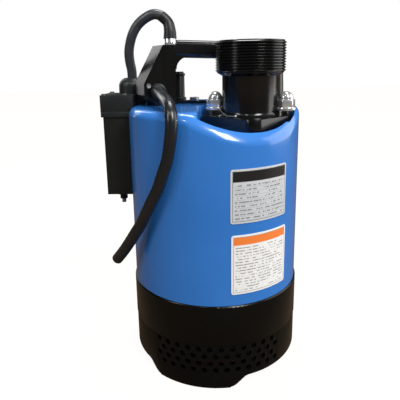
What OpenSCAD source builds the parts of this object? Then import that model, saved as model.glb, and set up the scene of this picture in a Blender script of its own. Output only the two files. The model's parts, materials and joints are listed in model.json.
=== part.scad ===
// Submersible sump pump: strainer base, cooling shell with a side relay, discharge pipe,
// carrying handle, canned motor and impeller. Z runs up the pump axis, the feet stand on
// z = 0 and the front faces -Y. Sizes are in millimetres.

/* [Shell] */
// Outer radius of the cooling shell
shell_r = 93.5; // [90:0.5:100]
// Wall of the cooling shell
shell_wall = 2.5; // [1.5:0.1:3.5]
// Height of the shell's top plate above the floor
shell_top = 289; // [285:1:310]
// Radius of the shell's shoulder
shoulder_r = 9; // [8:1:14]
// Height of the shell's lower edge
shell_base = 92; // [88:1:96]
// Height of the lowered seat under the discharge flange
seat_z = 264; // [260:1:268]
// Width of the rim kept in front of the lowered seat
seat_lip = 7; // [4:0.5:8]
// Slope of the rim towards the front right, in degrees
rim_slope = 36; // [25:1:42]

/* [Base] */
// Outer radius of the base ring
base_r = 95; // [94.5:0.25:97]
// Height of the base ring's top lip
lip_z = 95; // [94:0.5:99]
// Height of the seam between the strainer and the base ring
seam_z = 50; // [48:0.5:52]
// Wall of the strainer and of the base ring
base_wall = 4; // [3:0.5:6]
// Height of the arches between the feet
arch_h = 12; // [8:0.5:14]
// Diameter of a strainer hole
hole_d = 6; // [3:0.5:7]
// Rows of strainer holes
hole_rows = 4; // [1:1:4]
// Height between two rows of holes
row_step = 8.2; // [7:0.1:8.4]
// Height of the top row of holes
row_top_z = 45.5; // [44:0.1:46]
// Angle between two holes of a row
hole_step = 7.2; // [6:0.1:7.5]
// Holes in each group of a row
holes_in_group = 12; // [6:1:14]

/* [Pump] */
// Outer radius of the pump casing
casing_r = 80; // [78:0.5:82]
// Wall of the pump casing
casing_wall = 5; // [4:0.5:7]
// Radius of the suction eye
eye_r = 25; // [18:0.5:28]
// Thickness of the suction cover
cover_t = 6; // [4:0.5:8]
// Outer radius of the impeller
impeller_r = 56; // [45:1:66]
// Number of impeller vanes
vanes = 6; // [4:1:8]
// Outer radius of the oil casing
oil_r = 56; // [52:0.5:60]
// Wall of the oil casing
oil_wall = 5; // [4:0.5:7]

/* [Motor] */
// Outer radius of the motor frame
frame_r = 76; // [74:0.5:80]
// Wall of the motor frame
frame_wall = 4; // [3:0.5:6]
// Height of the motor frame's foot
frame_z = 96; // [92:1:98]
// Height of the motor frame's top
head_z = 206; // [202:1:210]
// Length of the stator core
stator_len = 55; // [45:1:60]
// Bore radius of the stator core
stator_bore = 33; // [28:0.5:36]
// Air gap between the rotor and the stator
air_gap = 0.6; // [0.4:0.1:1]
// Radius of the shaft at its bearings
shaft_r = 8.5; // [7:0.5:9]
// Width of the motor's bearings
bearing_w = 12; // [10:1:13]
// Outer radius of the motor's bearings
bearing_r = 20; // [19:0.5:22]
// Balls in each bearing
balls = 8; // [6:1:8]

/* [Discharge] */
// Distance of the discharge from the axis, to the right
outlet_x = 39; // [36:1:40]
// Distance of the discharge from the axis, to the front
outlet_y = 21; // [19:1:24]
// Radius of the discharge bore
outlet_bore = 25; // [20:0.5:26]
// Crest radius of the discharge thread
thread_r = 36.5; // [34:0.25:37]
// Pitch of the discharge thread
thread_pitch = 2.75; // [2:0.05:3.2]
// Number of thread ridges
thread_turns = 11; // [6:1:11]
// Height of the discharge pipe's mouth
mouth_z = 356; // [350:1:370]
// Radius of the discharge column
column_r = 29.5; // [28:0.5:31]
// Half width of the square discharge flange
flange_half = 40; // [38:0.5:41]
// Thickness of the discharge flange
flange_t = 14; // [12:0.5:18]
// Thickness of the discharge gasket
gasket_t = 2; // [1:0.5:3]
// Distance of a flange stud from the discharge axis
stud_pcd = 37.5; // [36.5:0.25:38]
// Radius of a flange stud
stud_r = 4; // [3:0.25:4.5]

/* [Handle] */
// Height of the top of the hand bar at its left end
bar_top = 360; // [354:1:372]
// Height of the hand bar's section
bar_h = 19; // [16:0.5:24]
// Width of the hand bar's section
bar_w = 20; // [16:0.5:21]
// Thickness of the handle's left leg
leg_t = 28; // [22:0.5:29]
// Thickness of the handle's base strap
strap_t = 3; // [3:0.5:6]

/* [Relay] */
// Thickness of the relay case, from its outer side to the shell
relay_t = 32; // [28:0.5:33]
// Width of the relay case
relay_w = 50; // [44:1:56]
// Height of the relay case's lower end
relay_z = 186; // [180:1:200]
// Height of the joint between the relay case and its lid
relay_joint = 284; // [278:1:286]
// Height of the top of the relay lid
relay_top = 301; // [298:1:306]
// Wall of the relay case
relay_wall = 3; // [2:0.25:4]
// Radius of the electrode rod
rod_r = 2.5; // [2:0.25:3]

/* [Cables] */
// Diameter of the supply cord
supply_d = 12; // [10:0.5:13]
// Diameter of the signal cable
signal_d = 11; // [9:0.5:12]

/* [Hidden] */
$fn = 96;

// Clearances: eps overlaps cuts, fit_gap separates parts that turn, rest_gap seats a loose fit
eps = 0.01;
cut = 5;
fit_gap = 0.4;
rest_gap = 0.2;

// Feet: centre angle of each, from the front towards the right, and half width
FEET = [-145, -15, 115];
foot_half = 25;
foot_rim = 10;
arch_flank = 16;
toe_h = 0.8;
plain_turn = -30;
floor_t = 3;
arch_start = 43;
pad_r = 12;
seam_groove = 0.7;

// Pump stack
casing_z = 26;
flange_plate_t = 5;
port_r = 6;
port_ring_r = 66;
ports = 8;
oil_floor_z = seam_z + flange_plate_t;
oil_floor_t = 5;
seal_bore = 17;
screw_r = 2.5;
screw_ring_r = casing_r - casing_wall/2;
base_bolt_ring_r = 71.5;
bolt_turn = 15;
screw_turn = 30;

// Motor stack
frame_floor_t = 5;
boss_wall = 4;
lower_bearing_z = frame_z + frame_floor_t;
stator_z = 125;
winding_h = 15;
winding_gap = 6;
winding_in = 42;
winding_out = frame_r - frame_wall - winding_gap;
upper_bearing_z = head_z - bearing_w;
head_plate_t = 8;
head_cover_z = 244;
head_cover_t = 6;
rotor_gap = stator_bore - air_gap;
race_mid = (shaft_r + bearing_r)/2;
ball_r = 3.2;
race_gap = 0.3;
shaft_end_z = 28;
impeller_z = 31;
impeller_t = 5;
vane_h = 9;
vane_t = 5;

// Discharge
OUTLET = [outlet_x, -outlet_y];
flange_z = seat_z + gasket_t;
flange_top = flange_z + flange_t;
pad_top = flange_top + 5;
pad_out = 13;
neck_h = 3;
thread_z = mouth_z - thread_turns*thread_pitch - 2;
corner_r = 12;
stud_turn = -12;
washer_t = 3;
washer_r = 10.6;
nut_flat = 8.4;
nut_h = 8;
spot_gap = 0.4;
boss_h = 10;
stud_boss_r = 8;
seat_gap = 2;

// Where the rim starts to slope, from the axis towards the angle rim_turn
rim_turn = 30;
rim_start = 60;

// Handle: the left leg's front face starts at LEG and turns by leg_turn
LEG = [-71, -12];
leg_turn = 30;
leg_w = 34.5;
leg_top = bar_top - 6;
bar_tilt = 2;
crook_r = 13;
crook_x = 21.5;
post_r = 10.5;
SIGNAL_GLAND = [-47, 9, leg_top];
BAR_A = [-50, 14];
BAR_B = [70, 30];
strap_y = 19;
strap_w = 12;
BOLTS = [[-22, 25], [53, 26]];
rest_z = shell_top;
VENT = [-40, 41];
vent_z = shell_top;
vent_bore = 3.8;
vent_ball_r = 3.2;
DUCT = [-55, 10];
duct_r = 8;

// Supply gland: its seat in the left leg, axis towards the front
SUPPLY_GLAND = [-60, -3, shell_top + 15];
gland_r = 9.5;
gland_len = 11;

// Relay: its box stands against the left of the shell, from relay_y backwards
relay_x = -(shell_r + 1 + relay_t);
relay_y = -2;
bracket_t = 7;
joint_h = 6;
wing_t = 16;
DOME = [-95, 33];
dome_r = 16;
SCREWS = [[4, 3.2], [relay_t - 4, 3.2], [4, relay_w - 3.2]];

// Lower and upper edges of the two plates on the shell
DATA_Z = [182, 236];
NOTICE_Z = [107, 170];

// Centre lines of the two cables
SUPPLY_ROUTE = [[-60, -14, shell_top + 15], [-57, -27, shell_top + 15], [-53, -41, shell_top + 14],
    [-49, -56, shell_top + 12], [-45, -70, shell_top + 10], [-41, -83, shell_top + 6],
    [-39, -91, shell_top - 2], [-39, -93, shell_top - 14], [-41, -92, 260], [-44, -91, 245],
    [-49, -89, 231], [-54, -86, 217], [-61, -82, 203], [-68, -78, 189], [-75, -72, 175],
    [-83, -67, 162], [-91, -60, 149], [-99, -54, 137], [-107, -47, 126]];
dome_h = 18;
SIGNAL_ROUTE = [[-47, 9, leg_top + 7], [-47, 9, leg_top + 15], [-49, 10, leg_top + 24],
    [-56, 11, leg_top + 31], [-65, 13, leg_top + 33], [-75, 15, leg_top + 29], [-84, 18, leg_top + 22],
    [-90, 20, leg_top + 13], [-94, 23, leg_top + 3], [-96, 25, relay_top + 46], [-96, 28, relay_top + 36],
    [-95, 31, relay_top + 27], [DOME[0], DOME[1], relay_top + dome_h]];

// Catmull-Rom curve through the route's points, three rings to a step
function clampi(i, n) = i < 0 ? 0 : i >= n ? n - 1 : i;
function bend(p, i, t) =
    let (n = len(p), a = p[clampi(i - 1, n)], b = p[i], c = p[clampi(i + 1, n)], d = p[clampi(i + 2, n)])
    0.5*(2*b + (c - a)*t + (2*a - 5*b + 4*c - d)*t*t + (3*b - 3*c + d - a)*t*t*t);
function curve(p, steps) =
    concat([for (i = [0 : len(p) - 2]) for (s = [0 : steps - 1]) bend(p, i, s/steps)], [p[len(p) - 1]]);
function unit(v) = v/norm(v);
function heading(c, i) = unit(c[clampi(i + 1, len(c))] - c[clampi(i - 1, len(c))]);

// A round tube of diameter d along the centre line c; side is square to its bends
module tube(c, d, side, sides = 10) {
    n = len(c);
    points = [for (i = [0 : n - 1])
        let (t = heading(c, i), u = unit(cross(t, side)), v = cross(t, u))
        for (k = [0 : sides - 1]) c[i] + d/2*(cos(360*k/sides)*u + sin(360*k/sides)*v)];
    walls = [for (i = [0 : n - 2]) for (k = [0 : sides - 1]) let (m = (k + 1) % sides)
        for (f = [[i*sides + m, i*sides + k, (i + 1)*sides + k],
                  [i*sides + m, (i + 1)*sides + k, (i + 1)*sides + m]]) f];
    caps = [for (k = [1 : sides - 2]) for (f = [[0, k, k + 1],
        [(n - 1)*sides, (n - 1)*sides + k + 1, (n - 1)*sides + k]]) f];
    polyhedron(points, concat(walls, caps), convexity = 8);
}

module ring(r_out, r_in, h) {
    difference() {
        cylinder(r = r_out, h = h);
        translate([0, 0, -cut]) cylinder(r = r_in, h = h + 2*cut);
    }
}

module round_square(half_x, half_y, r) {
    square([2*half_x, 2*(half_y - r)], center = true);
    square([2*(half_x - r), 2*half_y], center = true);
    for (x = [-1, 1], y = [-1, 1])
        translate([x*(half_x - r), y*(half_y - r)]) circle(r = r, $fn = 48);
}

module hex_bolt(r, length, head_r, head_h) {
    translate([0, 0, -length]) cylinder(r = r, h = length + eps, $fn = 32);
    cylinder(r = head_r, h = head_h, $fn = 6);
}

// Half section of a can with a rounded shoulder, from height a to height b
module can_section(r, a, b, shoulder) {
    translate([0, a]) square([r, b - a - shoulder]);
    translate([0, a]) square([r - shoulder, b - a]);
    translate([r - shoulder, b - shoulder]) intersection() {
        circle(r = shoulder);
        square(shoulder + 1);
    }
}

module can(r, a, b, shoulder) {
    rotate_extrude($fn = 128) can_section(r, a, b, shoulder);
}

// Plan of the lowered seat: the flange's square and all in front of it, grown by g
module seat_plan(g) {
    half = 1.414*(flange_half - corner_r) + corner_r + seat_gap + g;
    polygon([[outlet_x - half, -outlet_y], [outlet_x, -outlet_y + half], [outlet_x + half, -outlet_y],
        [outlet_x + half, -2*shell_r], [outlet_x - half, -2*shell_r]]);
}

// A can whose rim slopes down to the front right, with the lowered seat cut into it
module shell_body(r, a, top, low, shoulder, g) {
    difference() {
        can(r, a, top, shoulder);
        rotate(rim_turn) translate([0, -rim_start + g, top]) rotate([rim_slope, 0, 0])
            translate([-2*r, -4*r, 0]) cube([4*r, 5*r, 2*r]);
        translate([0, 0, low]) {
            intersection() {
                linear_extrude(top) {
                    seat_plan(g);
                    translate(OUTLET) rotate(45)
                        round_square(flange_half + seat_gap + g, flange_half + seat_gap + g, corner_r);
                    for (s = [-1, 1]) translate(stud_place(s)) circle(r = pad_out + seat_gap + g);
                }
                cylinder(r = g > 0 ? 2*r : r - seat_lip, h = top);
            }
        }
    }
}

module bearing_outer() {
    difference() {
        ring(bearing_r, bearing_r - 4, bearing_w);
        translate([0, 0, bearing_w/2]) rotate_extrude() translate([race_mid, 0]) circle(r = ball_r + race_gap, $fn = 48);
    }
}

module bearing_inner() {
    difference() {
        ring(shaft_r + 4, shaft_r, bearing_w);
        translate([0, 0, bearing_w/2]) rotate_extrude() translate([race_mid, 0]) circle(r = ball_r + race_gap, $fn = 48);
    }
}

module bearing_balls() {
    translate([0, 0, bearing_w/2]) {
        for (k = [0 : balls - 1]) rotate(360*k/balls) translate([race_mid, 0, 0]) sphere(r = ball_r, $fn = 32);
        translate([0, 0, -1]) ring(race_mid + 0.8, race_mid - 0.8, 2);
    }
}

// ---- base

module strainer() {
    color("#1d1f20") difference() {
        union() {
            rotate(plain_turn) ring(base_r - 0.5, base_r - 0.5 - base_wall, seam_z - seam_groove);
            rotate(plain_turn) ring(base_r - 2, base_r - 0.5 - base_wall, seam_z);
            rotate(plain_turn) ring(base_r - 2, base_r - 0.5 - foot_rim, arch_h + floor_t);
            rotate(plain_turn) translate([0, 0, arch_h]) cylinder(r = base_r - 2, h = floor_t);
            rotate(plain_turn) cylinder(r = pad_r, h = arch_h + eps);
        }
        arches();
        for (g = [0 : 2], row = [0 : hole_rows - 1], k = [0 : holes_in_group - 1])
            rotate(120*g + hole_step*(k - (holes_in_group - 1)/2 + (row % 2)/2))
                translate([0, 0, row_top_z - row*row_step]) rotate([90, 0, 0])
                    translate([0, 0, base_r - 2*base_wall]) cylinder(d = hole_d, h = 3*base_wall, $fn = 24);
    }
}

// A point of an arch's S-shaped flank, from its foot at x (t = 0) to the arch's top (t = 1)
function flank(t, x, side) = [x + side*arch_flank*t, toe_h + (arch_h - toe_h)*(3 - 2*t)*t*t];

// The three arches between the feet, each a prism with S-shaped flanks
module arches() {
    spans = [for (k = [0 : 2]) let (a = FEET[k], b = FEET[(k + 1) % 3] + (k == 2 ? 360 : 0))
        [(a + b)/2, (b - a)/2 - foot_half]];
    for (s = spans) {
        half = base_r*sin(s[1]);
        rotate(s[0]) rotate([90, 0, 0]) translate([0, 0, arch_start]) linear_extrude(base_r)
            polygon(concat([[-half, -cut]], [for (t = [0 : 6]) flank(t/6, -half, 1)],
                [for (t = [6 : -1 : 0]) flank(t/6, half, -1)], [[half, -cut]]));
    }
}

module base_ring() {
    flange_in = oil_r + rest_gap;
    color("#1a1c1e") difference() {
        union() {
            difference() {
                translate([0, 0, seam_z]) can(base_r, 0, lip_z - seam_z, 2);
                translate([0, 0, seam_z - cut]) cylinder(r = base_r - base_wall - 1, h = base_r + lip_z);
            }
            translate([0, 0, seam_z]) ring(base_r - base_wall, flange_in, flange_plate_t);
        }
        translate([0, 0, shell_base]) cylinder(r = shell_r + rest_gap, h = lip_z);
        for (k = [0 : ports - 1]) rotate(360*k/ports) translate([port_ring_r + 18, 0, seam_z - cut])
            cylinder(r = port_r/2, h = 2*cut + flange_plate_t, $fn = 32);
        for (k = [0 : 5]) rotate(60*k + bolt_turn) translate([base_bolt_ring_r, 0, seam_z - cut])
            cylinder(r = screw_r, h = 2*cut + flange_plate_t, $fn = 32);
        for (k = [0 : ports - 1]) rotate(360*k/ports) translate([port_ring_r, 0, seam_z - cut])
            cylinder(r = port_r, h = 2*cut + flange_plate_t, $fn = 32);
    }
}

module outer_shell() {
    in = shell_r - shell_wall;
    color("#346ab6") difference() {
        union() {
            difference() {
                shell_body(shell_r, shell_base, shell_top, seat_z, shoulder_r, 0);
                shell_body(in, shell_base - 1, shell_top - shell_wall, seat_z - shell_wall,
                    shoulder_r - shell_wall, shell_wall);
            }
            for (s = [-1, 1]) translate(stud_place(s)) translate([0, 0, seat_z - shell_wall - boss_h])
                cylinder(r = stud_boss_r, h = boss_h + eps, $fn = 48);
        }
        translate([outlet_x, -outlet_y, seat_z - 2*cut]) cylinder(r = outlet_bore, h = 3*cut);
        for (s = [-1, 1]) translate(stud_place(s)) translate([0, 0, seat_z - boss_h])
            cylinder(r = stud_r, h = 2*boss_h, $fn = 48);
        translate([DUCT[0], DUCT[1], shell_top - 2*cut]) cylinder(r = duct_r + rest_gap, h = 3*cut, $fn = 48);
        translate([VENT[0], VENT[1], shell_top - 2*cut]) cylinder(r = vent_bore, h = 3*cut, $fn = 48);
        for (b = BOLTS) translate([b[0], b[1], shell_top - 2*cut]) cylinder(r = 3, h = 3*cut, $fn = 32);
        for (s = [-1, 1]) translate(stud_place(s)) translate([0, 0, pad_top - rest_gap])
            cylinder(r = washer_r + spot_gap, h = 4*cut);
    }
}

// ---- pump end

module suction_cover() {
    color("#8a2a26") difference() {
        translate([0, 0, casing_z - cover_t]) ring(casing_r, eye_r, cover_t);
        for (k = [0 : 3]) rotate(90*k + screw_turn) translate([screw_ring_r, 0, casing_z - 2*cut - cover_t])
            cylinder(r = screw_r/2 + 0.6, h = 4*cut + cover_t, $fn = 32);
    }
}

module pump_casing() {
    color("#33373a") difference() {
        union() {
            translate([0, 0, casing_z]) ring(casing_r, casing_r - casing_wall, seam_z - casing_z);
            for (k = [0 : 5]) rotate(60*k + bolt_turn) translate([base_bolt_ring_r - 5, -5, casing_z])
                cube([casing_r - casing_wall/2 - base_bolt_ring_r + 5, 10, seam_z - casing_z]);
        }
        for (k = [0 : 5]) rotate(60*k + bolt_turn) translate([base_bolt_ring_r, 0, seam_z - 2*cut])
            cylinder(r = screw_r, h = 3*cut, $fn = 32);
        for (k = [0 : 3]) rotate(90*k + screw_turn) translate([screw_ring_r, 0, casing_z - eps])
            cylinder(r = screw_r/2 + 0.6, h = 2*cut, $fn = 32);
    }
}

module cover_screws() {
    color("silver") for (k = [0 : 3]) rotate(90*k + screw_turn)
        translate([screw_ring_r, 0, casing_z - cover_t]) mirror([0, 0, 1])
            hex_bolt(screw_r/2 + 0.6, cover_t + 8, screw_r + 1, 2);
}

module casing_bolts() {
    color("silver") for (k = [0 : 5]) rotate(60*k + bolt_turn)
        translate([base_bolt_ring_r, 0, seam_z + flange_plate_t]) hex_bolt(screw_r, flange_plate_t + 8, 4.2, 3.5);
}

module oil_casing() {
    plug_z = (oil_floor_z + frame_z)/2;
    color("#2b2f33") difference() {
        union() {
            translate([0, 0, oil_floor_z]) ring(oil_r, oil_r - oil_wall, frame_z - oil_floor_z);
            translate([0, 0, seam_z]) ring(oil_r, seal_bore, oil_floor_z - seam_z + oil_floor_t);
        }
        translate([0, 0, plug_z]) rotate([90, 0, 0]) cylinder(r = 5, h = 2*oil_r, $fn = 48);
    }
}

module oil_plug() {
    color("silver") translate([0, 0, (oil_floor_z + frame_z)/2]) rotate([90, 0, 0]) {
        translate([0, 0, oil_r - oil_wall - 1]) cylinder(r = 5, h = oil_wall, $fn = 48);
        translate([0, 0, oil_r + 0.5]) cylinder(r = 7, h = 4, $fn = 6);
        translate([0, 0, oil_r - 2]) cylinder(r = 5, h = 3, $fn = 48);
    }
}

module seal_seat() {
    color("#c9c4b4") translate([0, 0, seam_z]) ring(seal_bore, shaft_r + fit_gap, oil_floor_t + 6);
}

module impeller() {
    hub_r = shaft_r + 5;
    color("#22262a") difference() {
        union() {
            translate([0, 0, impeller_z + vane_h]) cylinder(r = impeller_r, h = impeller_t);
            translate([0, 0, impeller_z]) cylinder(r = hub_r, h = vane_h + eps);
            for (k = [0 : vanes - 1]) rotate(360*k/vanes) translate([hub_r - 2, -vane_t/2, impeller_z])
                rotate(18) cube([impeller_r - hub_r - 4, vane_t, vane_h + eps]);
        }
        translate([0, 0, impeller_z - cut]) cylinder(r = shaft_r - 2, h = 3*cut + vane_h);
    }
}

module impeller_nut() {
    color("silver") difference() {
        translate([0, 0, impeller_z - 6]) cylinder(r = 10, h = 6, $fn = 6);
        translate([0, 0, impeller_z - 2*cut]) cylinder(r = shaft_r - 2, h = 3*cut);
    }
}

module shaft() {
    color("#c7cacd") {
        translate([0, 0, shaft_end_z - 1]) cylinder(r = shaft_r - 2, h = impeller_z + vane_h + impeller_t - shaft_end_z + 1);
        translate([0, 0, impeller_z + vane_h + impeller_t])
            cylinder(r = shaft_r, h = head_z + 1 - impeller_z - vane_h - impeller_t);
    }
}

module seal_ring() {
    color("#5c5f63") translate([0, 0, seam_z + oil_floor_t + 6 + 0.3]) ring(shaft_r + 5, shaft_r, 6);
}

// Closed coil spring that presses the seal ring down, five turns round the shaft
module seal_spring() {
    low = seam_z + oil_floor_t + 12.3 + 1;
    color("silver") {
        for (k = [0 : 4]) translate([0, 0, low + 4*k]) rotate_extrude($fn = 64)
            translate([shaft_r + 3, 0]) circle(r = 1, $fn = 24);
        rotate(40) translate([shaft_r + 3, 0, low]) cylinder(r = 0.7, h = 19, $fn = 24);
        translate([0, 0, low + 17.6]) ring(shaft_r + 5, shaft_r, 3);
    }
}

// ---- motor

module motor_frame() {
    color("#3b4046") difference() {
        union() {
            translate([0, 0, frame_z]) ring(frame_r, frame_r - frame_wall, head_z - frame_z);
            translate([0, 0, frame_z]) cylinder(r = frame_r - 1, h = frame_floor_t);
            translate([0, 0, frame_z]) cylinder(r = bearing_r + boss_wall, h = frame_floor_t + bearing_w);
        }
        translate([0, 0, frame_z - cut]) cylinder(r = shaft_r + 2, h = 4*cut);
        translate([0, 0, lower_bearing_z]) cylinder(r = bearing_r, h = 2*bearing_w);
    }
}

module lower_bearing_outer() {
    color("#b9bcc0") translate([0, 0, lower_bearing_z]) bearing_outer();
}

module upper_bearing_outer() {
    color("#b9bcc0") translate([0, 0, upper_bearing_z]) bearing_outer();
}

module bearing_inner_rings() {
    color("#c3c6ca") for (z = [lower_bearing_z, upper_bearing_z]) translate([0, 0, z]) bearing_inner();
}

module lower_bearing_balls() {
    color("silver") translate([0, 0, lower_bearing_z]) bearing_balls();
}

module upper_bearing_balls() {
    color("silver") translate([0, 0, upper_bearing_z]) bearing_balls();
}

module stator_core() {
    core_r = frame_r - frame_wall;
    color("#7b7f84") difference() {
        translate([0, 0, stator_z]) ring(core_r, stator_bore, stator_len);
        for (k = [0 : 17]) rotate(20*k) translate([stator_bore + 6, -2.5, stator_z - cut])
            cube([winding_out - stator_bore - 8, 5, stator_len + 2*cut]);
    }
}

module winding_end(z) {
    translate([0, 0, z]) rotate_extrude() translate([(winding_in + winding_out)/2, winding_h/2])
        round_square((winding_out - winding_in)/2, winding_h/2 - 0.25, 5);
}

module stator_windings() {
    color("#a6552b") {
        winding_end(stator_z - winding_h);
        winding_end(stator_z + stator_len);
        for (k = [0 : 17]) rotate(20*k) translate([stator_bore + 10, -2.1, stator_z - 2])
            cube([winding_out - stator_bore - 13, 4.2, stator_len + 4]);
    }
}

module rotor_core() {
    color("#8c9094") difference() {
        translate([0, 0, stator_z - 2]) cylinder(r = rotor_gap, h = stator_len + 4);
        translate([0, 0, stator_z - 2*cut]) cylinder(r = shaft_r, h = stator_len + 4*cut);
    }
}

module motor_head() {
    color("#3b4046") difference() {
        union() {
            translate([0, 0, head_z]) cylinder(r = frame_r, h = head_plate_t);
            translate([0, 0, upper_bearing_z]) cylinder(r = bearing_r + boss_wall, h = bearing_w + eps);
            translate([0, 0, head_z]) ring(frame_r, frame_r - frame_wall, head_cover_z - head_z);
        }
        translate([0, 0, upper_bearing_z - cut]) cylinder(r = bearing_r, h = bearing_w + cut);
        translate([0, 0, upper_bearing_z]) cylinder(r = shaft_r + 2, h = bearing_w + 3);
        translate([-55, 0, head_z - cut]) cylinder(r = 6, h = 4*cut, $fn = 48);
        for (k = [0 : 3]) rotate(90*k + 30) translate([frame_r - frame_wall/2, 0, head_cover_z - 8])
            cylinder(r = 1.5, h = 2*cut, $fn = 32);
    }
}

module run_capacitor() {
    color("#d9d6cc") translate([24, 26, head_z + head_plate_t + 14]) rotate([90, 0, 0])
        cylinder(r = 14, h = 52);
}

module thermal_protector() {
    color("#2d2d30") translate([-25, -15, head_z + head_plate_t]) cylinder(r = 12, h = 9);
}

module head_cover() {
    color("#3b4046") difference() {
        translate([0, 0, head_cover_z]) cylinder(r = frame_r, h = head_cover_t);
        translate([DUCT[0], DUCT[1], head_cover_z - cut]) cylinder(r = duct_r - 3, h = 4*cut, $fn = 48);
        for (k = [0 : 3]) rotate(90*k + 30) translate([frame_r - frame_wall/2, 0, head_cover_z - cut])
            cylinder(r = 1.5, h = 4*cut, $fn = 32);
    }
}

module head_screws() {
    color("silver") for (k = [0 : 3]) rotate(90*k + 30)
        translate([frame_r - frame_wall/2, 0, head_cover_z + head_cover_t]) hex_bolt(1.5, head_cover_t + 7, 3.2, 2.5);
}

module frame_seals() {
    color("#151515") for (z = [frame_z + 3, head_cover_z + 3])
        translate([0, 0, z]) ring(frame_r + 1.2, frame_r, 2.2);
}

module cable_duct() {
    color("#3b4046") translate([DUCT[0], DUCT[1], head_cover_z + head_cover_t])
        ring(duct_r, duct_r - 3, rest_z - head_cover_z - head_cover_t);
}

// ---- discharge

function stud_place(s) = [outlet_x + s*stud_pcd*cos(stud_turn), -outlet_y + s*stud_pcd*sin(stud_turn), 0];

module discharge_gasket() {
    color("#101010") difference() {
        intersection() {
            translate([outlet_x, -outlet_y, seat_z]) rotate(45) linear_extrude(gasket_t)
                round_square(flange_half - 1, flange_half - 1, corner_r);
            cylinder(r = shell_r - seat_lip - 1, h = mouth_z);
        }
        translate([outlet_x, -outlet_y, seat_z - cut]) cylinder(r = outlet_bore, h = 3*cut);
        for (s = [-1, 1]) translate(stud_place(s)) translate([0, 0, seat_z - cut])
            cylinder(r = stud_r, h = 3*cut, $fn = 48);
    }
}

module discharge_pipe() {
    crest = thread_pitch*0.3;
    depth = thread_pitch*0.6;
    color("#141618") difference() {
        union() {
            intersection() {
                union() {
                    translate([outlet_x, -outlet_y, flange_z]) rotate(45) linear_extrude(flange_t)
                        round_square(flange_half, flange_half, corner_r);
                    for (s = [-1, 1]) translate(stud_place(s)) translate([0, 0, flange_top - eps])
                        cylinder(r = pad_out, h = pad_top - flange_top + eps, $fn = 48);
                }
                cylinder(r = shell_r - seat_lip - spot_gap, h = mouth_z);
            }
            translate([outlet_x, -outlet_y, flange_top - eps]) {
                rotate_extrude() difference() {
                    square([column_r + 5, 5]);
                    translate([column_r + 5, 5]) circle(r = 5);
                }
                cylinder(r = column_r, h = thread_z - flange_top + 2);
            }
            translate([outlet_x, -outlet_y, thread_z - neck_h])
                cylinder(r1 = column_r, r2 = thread_r - depth, h = neck_h + eps);
            translate([outlet_x, -outlet_y, thread_z]) cylinder(r = thread_r - depth, h = mouth_z - thread_z);
            translate([outlet_x, -outlet_y, thread_z]) rotate_extrude()
                for (k = [0 : thread_turns - 1]) translate([0, k*thread_pitch + 1])
                    polygon([[thread_r - depth - 1, 0], [thread_r - depth, 0], [thread_r, thread_pitch/2 - crest/2],
                        [thread_r, thread_pitch/2 + crest/2], [thread_r - depth, thread_pitch],
                        [thread_r - depth - 1, thread_pitch]]);
        }
        translate([outlet_x, -outlet_y, flange_z - cut]) cylinder(r = outlet_bore, h = mouth_z);
        for (s = [-1, 1]) translate(stud_place(s)) translate([0, 0, flange_z - cut])
            cylinder(r = stud_r + 0.25, h = 2*flange_t, $fn = 48);
        for (s = [-1, 1]) translate(stud_place(s)) translate([0, 0, pad_top])
            cylinder(r = washer_r + spot_gap, h = washer_t + nut_h + 4, $fn = 48);
    }
}

module discharge_studs() {
    low = seat_z - boss_h;
    color("silver") for (s = [-1, 1]) translate(stud_place(s)) translate([0, 0, low])
        cylinder(r = stud_r, h = pad_top + washer_t + nut_h - 1 - low, $fn = 48);
}

module discharge_washers() {
    color("silver") for (s = [-1, 1]) translate(stud_place(s)) translate([0, 0, pad_top])
        ring(washer_r, stud_r, washer_t);
}

module discharge_cap_nuts() {
    color("silver") for (s = [-1, 1]) translate(stud_place(s)) translate([0, 0, pad_top + washer_t])
        difference() {
            union() {
                cylinder(r = nut_flat/cos(30), h = nut_h, $fn = 6);
                translate([0, 0, nut_h - eps]) cylinder(r = nut_flat - 0.8, h = 1);
                translate([0, 0, nut_h + 1 - eps]) intersection() {
                    sphere(r = nut_flat - 0.8, $fn = 48);
                    cylinder(r = 2*nut_flat, h = 2*nut_flat);
                }
            }
            translate([0, 0, -cut]) cylinder(r = stud_r, h = nut_h + cut - 1, $fn = 48);
        }
}

// ---- handle, vent and glands

// The bar's section swept from a to b, falling by tilt degrees, with its top at height z at a
module bar(a, b, z, w, h, tilt) {
    d = b - a;
    translate([a[0], a[1], z - h/2]) rotate([0, 0, atan2(d[1], d[0])]) rotate([0, tilt, 0])
        rotate([90, 0, 90]) linear_extrude(norm(d)/cos(tilt)) round_square(w/2, h/2, 6);
}

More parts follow.
